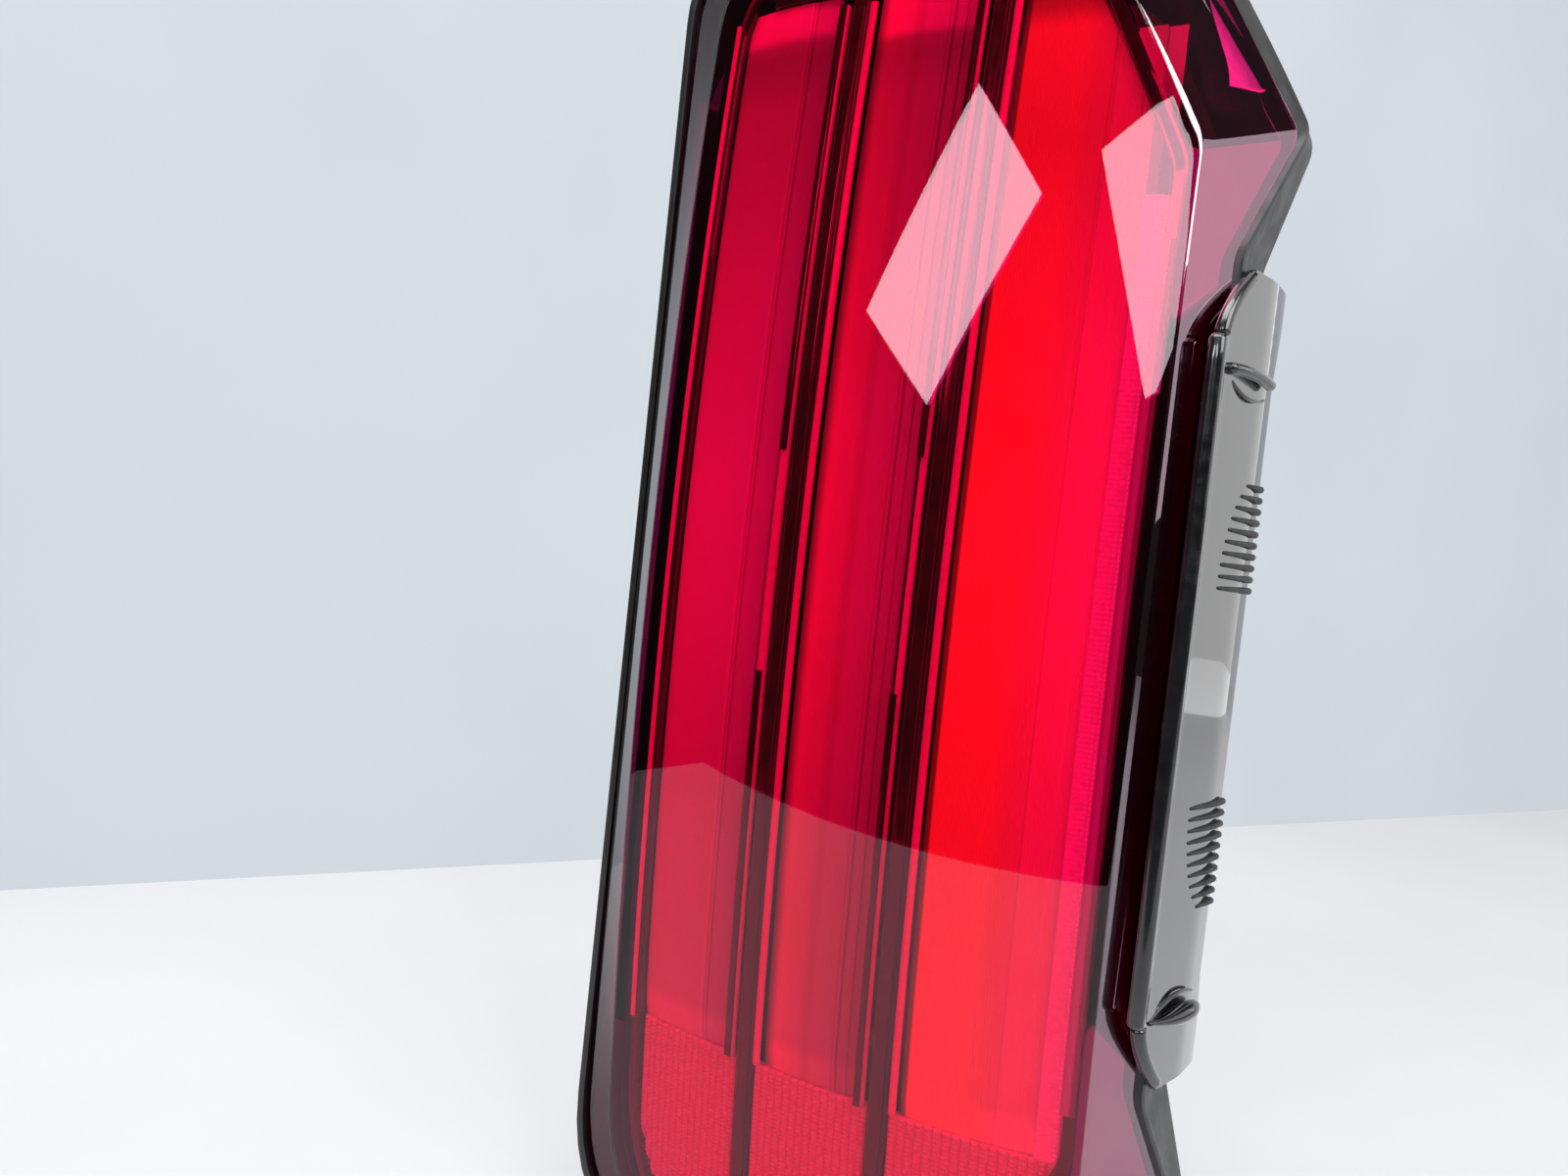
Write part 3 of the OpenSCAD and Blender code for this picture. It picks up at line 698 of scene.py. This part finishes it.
# the pipes get a little painted glow
pipe_red = prism_material("pipe_red", (0.9, 0.6, 0.65), 0.05)
for number in range(len(PIPE_X)):
    build_pipe(number, pipe_red)
prism_red = prism_material("prism_red", (0.9, 0.6, 0.7), 0.0)
for number in range(3):
    build_pad(number, prism_red)
# painted light across the rim strip: (X, red, blue share of the red), where the red level holds painted
# highlight lines and the blue share is its hue. The strip also gets painted glow.
RIM_HUE_AND_LIGHT = [(77.1, 0.8, 0.9), (77.6, 0.35, 0.8), (78.5, 0.5, 0.9), (79.5, 0.5, 0.9), (80.2, 0.22, 0.9),
              (81.4, 0.16, 0.9)]
RIM_X, RIM_Z = (77.1, 81.4), (-135, 118)
RIM_D, RIM_BACK = 3.35, 3.9
RIM_PAINTED_GLOW = 0.3


def build_rim_strip():
    """Thin red strip that fills the gap between the reflex band and the bezel."""
    # painted light along the strip: a little darker towards the top
    rim_painted_level = [(RIM_Z[0], 0.9), (RIM_Z[1], 0.8)]
    piece = sheet_solid("rim_strip", span(*RIM_X, 24), span(*RIM_Z, 60),
                        lambda x, z: front_y(x, z) + RIM_D + 0.2 * (math.sin(x * 6)) ** 2,
                        lambda x, z: front_y(x, z) + RIM_BACK,
                        material=diffuser_material("rim_red", RIM_HUE_AND_LIGHT, rim_painted_level, RIM_PAINTED_GLOW),
                        slot="light_guide")
    edge_sharp(piece)


build_rim_strip()
# the reflex cells get painted glow
build_reflex(prism_material("reflex_red", (0.95, 0.5, 0.6), 0.35))

SHADE_X = [(-37, -34.4), (13, 15.2)]
SHADE_Z = [(COLUMN_LOW, -21), (52, COLUMN_HIGH)]
SHADE_D, SHADE_BACK, SHADE_CROWN = 5.05, 5.7, 0.25


def build_shades(material):
    """Black strips over parts of the light pipes, joined in one piece."""
    parts = []
    for x0, x1 in SHADE_X:
        for z0, z1 in SHADE_Z:
            def front(x, z):
                crown = SHADE_CROWN * (2 * (x - x0) / (x1 - x0) - 1) ** 2
                return front_y(x, z) + SHADE_D + crown

            parts.append(sheet_solid("shade", span(x0, x1, 8), span(z0, z1, 24), front,
                                     lambda x, z: front_y(x, z) + SHADE_BACK,
                                     material=material, slot="bezel_black"))
    with bpy.context.temp_override(active_object=parts[0], object=parts[0], selected_objects=parts,
                                   selected_editable_objects=parts):
        bpy.ops.object.join()
    parts[0].name = "shade_strips_shaped"
    edge_sharp(parts[0])
    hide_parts("shade_strips")


build_shades(rib_black)

# ---------------------------------------------------------------- side bracket and its rail
PANEL_PATH = [(-61, 97.5), (-33, 104), (-21, 104.8)]      # (Y, X) of the outer face
SKIN = 2.2
EAR_Y = -16.8
BRACKET_HALF = 119
BRACKET_COLS = 22
# (height from the middle, Y) of the bracket's front and rear edges
FRONT_EDGE = [(0, -60.8), (96, -60.8), (104, -56), (BRACKET_HALF, -46)]
REAR_EDGE = [(0, -21), (90, -21), (107, EAR_Y), (BRACKET_HALF, EAR_Y)]


def lerp_table(pairs, v):
    """Second value at v, in straight lines between pairs."""
    for (a, x), (b, y) in zip(pairs, pairs[1:]):
        if v <= b:
            return x + (y - x) * max(0.0, v - a) / (b - a)
    return pairs[-1][1]


def panel_x(y):
    """Outer face of the bracket, with the bend rounded."""
    return sum(lerp_table(PANEL_PATH, y + d) for d in (-3, -1.5, 0, 1.5, 3)) / 5 - 0.1


def build_bracket(material):
    """Bent panel of even thickness, with an ear at each end of its rear edge."""
    zs = range(MID_Z - BRACKET_HALF, MID_Z + BRACKET_HALF + 1)
    verts = []
    for side in (0, SKIN):
        for z in zs:
            h = abs(z - MID_Z)
            for y in span(lerp_table(FRONT_EDGE, h), lerp_table(REAR_EDGE, h), BRACKET_COLS):
                verts.append((panel_x(y) - side, y, z))
    piece = make("bracket_panel", verts, sheet_faces(BRACKET_COLS + 1, len(zs)),
                 material=material, slot="bracket_gloss")
    edge_sharp(piece, 40)
    bevel(piece, 0.5, 3, 50)
    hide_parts("side_bracket")


def tube(name, path, radii, material, sides=14):
    """Rod through points in mm, with a radius for each."""
    points = [Vector(p) for p in path]
    rings = []
    for k, p in enumerate(points):
        along = (points[min(k + 1, len(points) - 1)] - points[max(k - 1, 0)]).normalized()
        out = along.cross(Vector((0, 0, 1))).normalized()
        up = out.cross(along)
        rings.append([p + (out * math.cos(a) + up * math.sin(a)) * radii[k]
                      for a in (2 * math.pi * j / sides for j in range(sides))])
    return rings_solid(name, rings, points[0], points[-1], material=material, slot="bracket_gloss")


def curve(a, b, c, parts):
    """Points of the curve from a to c that is pulled towards b."""
    return [bend(Vector(a), Vector(b), Vector(c), k / parts) for k in range(parts + 1)]


def dome(radius, parts):
    """Radii along a rod whose two ends are rounded."""
    radii = []
    for k in range(parts + 1):
        end = max(0.0, abs(2 * k / parts - 1) - 0.9)
        radii.append(radius * math.sqrt(max(0.02, 1 - end ** 2 * 98)))
    return radii


GUIDE_MID_Z = MID_Z - 4     # middle height between the two sets of guides
HOOD_Z, NOSE_Z = 93, 97
HOOD_STEPS, NOSE_STEPS = 20, 24


def paddle(k):
    """Radius of the lower hood at step k: thickest near its rear end."""
    rise = math.sin(min(1.0, k / 16) * math.pi / 2) ** 2
    end = max(0.0, k / HOOD_STEPS - 0.8)
    return 0.6 + 2.1 * rise * (1 - end ** 2 * 20)


def build_hood(s, material):
    """Hood of the upper (s = 1) or lower (s = -1) guide: its bar, its lip and a nose strip."""
    z = GUIDE_MID_Z + s * HOOD_Z
    name = "upper" if s > 0 else "lower"
    bar = curve((98.4, -57, z), (103.5, -46, z + s * 1.6), (106.2, -31.5, z - s), HOOD_STEPS)
    radii = dome(1.7, HOOD_STEPS) if s > 0 else [paddle(k) for k in range(HOOD_STEPS + 1)]
    tube(f"hood_bar_{name}", bar, radii, material)
    lip = curve((98.6, -54, z - s * 2.5), (102.6, -45, z - s * 9), (105, -33, z - s * 5), HOOD_STEPS)
    tube(f"hood_lip_{name}", lip, dome(0.55, HOOD_STEPS), material)
    # nose strip along the sloping end of the panel
    end = MID_Z + s * NOSE_Z
    nose = curve((96.4, -61, end), (96.8, -60.6, end + s * 8), (100.3, -48, end + s * 20), NOSE_STEPS)
    tube(f"nose_{name}", nose, dome(2.3, NOSE_STEPS), material, 16)


TEETH = 10
COMB_FROM, COMB_TO = 32, 66     # heights of the comb from GUIDE_MID_Z
COMB_REACH = 21
COMB_Y = -24
TOOTH_R = [0.6 + 0.05 * k for k in range(11)]
SPINE_OVER = 0.02       # the spine's far end sits this much higher than COMB_TO says


def build_comb(s, material):
    """Comb of short teeth that get shorter away from the middle, joined by a spine."""
    name = "upper" if s > 0 else "lower"
    for k in range(TEETH):
        t = k / TEETH
        reach = COMB_REACH * math.sqrt(1 - t * t) + 2
        z = GUIDE_MID_Z + s * (COMB_FROM + (COMB_TO - COMB_FROM) * t)
        tip_y = COMB_Y - reach
        path = curve((panel_x(tip_y) - 0.3, tip_y, z), (104.8, COMB_Y - reach * 0.4, z),
                     (105.2, -23.5, z), 10)
        tube(f"tooth_{name}_{k}", path, TOOTH_R, material, 10)
    z0, z1 = GUIDE_MID_Z + s * COMB_FROM, GUIDE_MID_Z + s * COMB_TO + SPINE_OVER
    tube(f"spine_{name}", [(104.4, -23, z) for z in span(z0, z1, 20)], dome(1.5, 20), material)


RAIL_X, RAIL_BACK_Y, RAIL_Y = 95.9, -61.1, -63
RAIL_HALF_W, RAIL_NOSE, RAIL_HALF_H = 2.5, 1.9, 96
# (height from the end, scale of the section) where the rail's ends round off
RAIL_ENDS = [(-1.9, 0.25), (-1.6, 0.6), (-1.0, 0.85), (0, 1)]


def build_rail(material):
    """Upright rod in front of the panel with a rounded nose and closed ends."""
    profile = []
    for a in span(-math.pi / 2, math.pi / 2, 12):
        profile.append((RAIL_X + RAIL_HALF_W * math.sin(a), RAIL_Y - RAIL_NOSE * math.cos(a)))
    profile += [(RAIL_X + RAIL_HALF_W, RAIL_BACK_Y), (RAIL_X - RAIL_HALF_W, RAIL_BACK_Y)]
    stations = [(MID_Z - RAIL_HALF_H + d, k) for d, k in RAIL_ENDS]
    stations += [(MID_Z + h, 1) for h in span(-90, 90, 40)]
    stations += [(MID_Z + RAIL_HALF_H - d, k) for d, k in reversed(RAIL_ENDS)]
    rings = [[Vector((RAIL_X + (x - RAIL_X) * k, RAIL_BACK_Y + (y - RAIL_BACK_Y) * k, z)) for x, y in profile]
             for z, k in stations]
    low, high = ((RAIL_X, RAIL_BACK_Y - 0.5, stations[end][0]) for end in (0, -1))
    piece = rings_solid("rail_rod", rings, low, high, material=material, slot="bracket_gloss")
    edge_sharp(piece, 50)
    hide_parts("trim_rail")


bracket_gloss = gloss_black("bracket_gloss", (0.003, 0.003, 0.004), 0.03, 2.3)
bracket_dark = gloss_black("bracket_dark", (0.004, 0.004, 0.005), 0.2, 1.4)
comb_black = moulded("comb_black", (0.004, 0.004, 0.005), (0.009, 0.009, 0.01), 0.5)
build_bracket(bracket_gloss)
build_rail(bracket_dark)
for side in (-1, 1):
    build_hood(side, bracket_dark)
    build_comb(side, comb_black)

# ---------------------------------------------------------------- materials for the other CAD nodes
housing_black = moulded("housing_black", (0.012, 0.012, 0.014), (0.02, 0.02, 0.023), 0.42)
looks = {
    "housing_black": housing_black,
    "bracket_gloss": bracket_gloss,
    "bezel_black": bezel_black,
    "sealant": moulded("sealant", (0.02, 0.02, 0.022), (0.03, 0.03, 0.032), 0.6),
    "metallised": metal("metallised", (0.82, 0.82, 0.84), 0.14),
    "circuit_white": moulded("circuit_white", (0.75, 0.75, 0.72), (0.85, 0.85, 0.82), 0.45),
    "led_emitter": moulded("led_emitter", (0.85, 0.7, 0.25), (0.95, 0.82, 0.35), 0.3),
    "cast_aluminium": metal("cast_aluminium", (0.6, 0.61, 0.63), 0.38, (300, 300, 300)),
    "steel": metal("steel", (0.55, 0.56, 0.58), 0.3),
    "holder_plastic": moulded("holder_plastic", (0.025, 0.025, 0.028), (0.04, 0.04, 0.044), 0.5),
    "seal_rubber": moulded("seal_rubber", (0.01, 0.01, 0.01), (0.018, 0.018, 0.018), 0.7),
    "foam": moulded("foam", (0.03, 0.03, 0.033), (0.06, 0.06, 0.065), 0.9, 1400, 0.0003),
    "circuit_green": moulded("circuit_green", (0.01, 0.12, 0.04), (0.02, 0.18, 0.06), 0.35),
    "terminal": metal("terminal", (0.8, 0.62, 0.3), 0.25),
    "membrane": moulded("membrane", (0.75, 0.75, 0.75), (0.85, 0.85, 0.85), 0.8),
}


def bulb_material():
    g = Graph("bulb_glass")
    g.set(Transmission_Weight=1.0, IOR=1.47)
    g.link(g.ramp(g.noise(120), 0.0, 0.04, 0.3, 0.7), g.shader.inputs["Roughness"])
    g.set(Base_Color=(0.97, 0.95, 0.9, 1))
    return g.material


looks["bulb_glass"] = bulb_material()
slot_of = {s["node"]: s["material_slot"] for s in frame["record"]["subparts"]}
for name, node in nodes.items():
    look = looks.get(slot_of[name])
    if look:
        node.data.materials.clear()
        node.data.materials.append(look)


# ---------------------------------------------------------------- stage and lights
FLOOR_Z = cad_low.z


def plane(name, corners, material):
    mesh = bpy.data.meshes.new(name)
    mesh.from_pydata(corners, [], [tuple(range(len(corners)))])
    mesh.materials.append(material)
    piece = bpy.data.objects.new(name, mesh)
    bpy.context.scene.collection.objects.link(piece)


def stage_material(name, colour, light, roughness, glow=0.0):
    g = Graph(name)
    tone = g.ramp(g.noise(2.5, 3), colour, light, 0.3, 0.7)
    g.link(tone, g.shader.inputs["Base Color"])
    g.link(tone, g.shader.inputs["Emission Color"])
    g.set(Emission_Strength=glow)
    g.set(Roughness=roughness, Specular_IOR_Level=0.2)
    return g.material


# floor, and the backdrop that stands along its far edge, in metres
WALL_FROM, WALL_TO = (-0.75, -0.272), (1.25, 3.44)
WALL_LOW, WALL_HIGH = -2, 3
FLOOR_LEFT, FLOOR_RIGHT, FLOOR_NEAR = -0.63, 3, -0.62
FLOOR_GLOW, WALL_GLOW = 0.85, 2.85
FLOOR_OUTLINE = [(FLOOR_LEFT, FLOOR_NEAR), (FLOOR_RIGHT, FLOOR_NEAR), (FLOOR_RIGHT, WALL_TO[1]), WALL_TO,
                 WALL_FROM]
plane("floor", [(*at, FLOOR_Z) for at in FLOOR_OUTLINE],
      stage_material("floor_white", (0.36, 0.36, 0.37), (0.39, 0.39, 0.4), 0.7, FLOOR_GLOW))
plane("backdrop", [(*WALL_FROM, WALL_LOW), (*WALL_TO, WALL_LOW), (*WALL_TO, WALL_HIGH),
                   (*WALL_FROM, WALL_HIGH)],
      stage_material("wall_grey", (0.155, 0.165, 0.178), (0.168, 0.178, 0.19), 0.8, WALL_GLOW))


def softbox(name, azimuth, elevation, distance, width, height, luminance, turn=0.0, colour=(1, 1, 1)):
    """Rectangular light seen from the lamp at an azimuth (from -Y towards -X) and an elevation."""
    az, el = math.radians(azimuth), math.radians(elevation)
    at = Vector((-math.sin(az) * math.cos(el), -math.cos(az) * math.cos(el), math.sin(el))) * distance
    data = bpy.data.lights.new(name, "AREA")
    data.shape = "RECTANGLE"
    data.size, data.size_y = width, height
    data.energy = luminance * math.pi * width * height
    data.color = colour
    light = bpy.data.objects.new(name, data)
    light.rotation_mode = "QUATERNION"
    light.rotation_quaternion = (-at).to_track_quat("-Z", "Y") @ Matrix.Rotation(
        math.radians(turn), 4, "Z").to_quaternion()
    light.location = at
    light.visible_camera = False
    bpy.context.scene.collection.objects.link(light)


WINDOW_COLOUR = (0.96, 0.98, 1)
softbox("overhead", 150, 78, 2.3, 2.6, 2.0, 1.5)
softbox("key_right", -62, 38, 1.9, 1.0, 1.2, 6.2)
softbox("key_high", 12, 64, 1.9, 1.8, 0.9, 6.6)
softbox("side_fill", -104, 24, 1.6, 1.5, 1.1, 1.3)
softbox("back_fill", -143, 12, 2.2, 1.3, 1.5, 0.9)
softbox("window_left", 19.5, 22.5, 2.1, 0.42, 0.66, 10, -33, WINDOW_COLOUR)
softbox("window_right", -8, 24, 2.1, 0.42, 0.66, 9, 25, WINDOW_COLOUR)

world = bpy.data.worlds.new("world")
bpy.context.scene.world = world
world.use_nodes = True
world.node_tree.nodes["Background"].inputs["Color"].default_value = (0.9, 0.95, 1, 1)
world.node_tree.nodes["Background"].inputs["Strength"].default_value = 0.04
bpy.context.scene.view_settings.view_transform = "Standard"
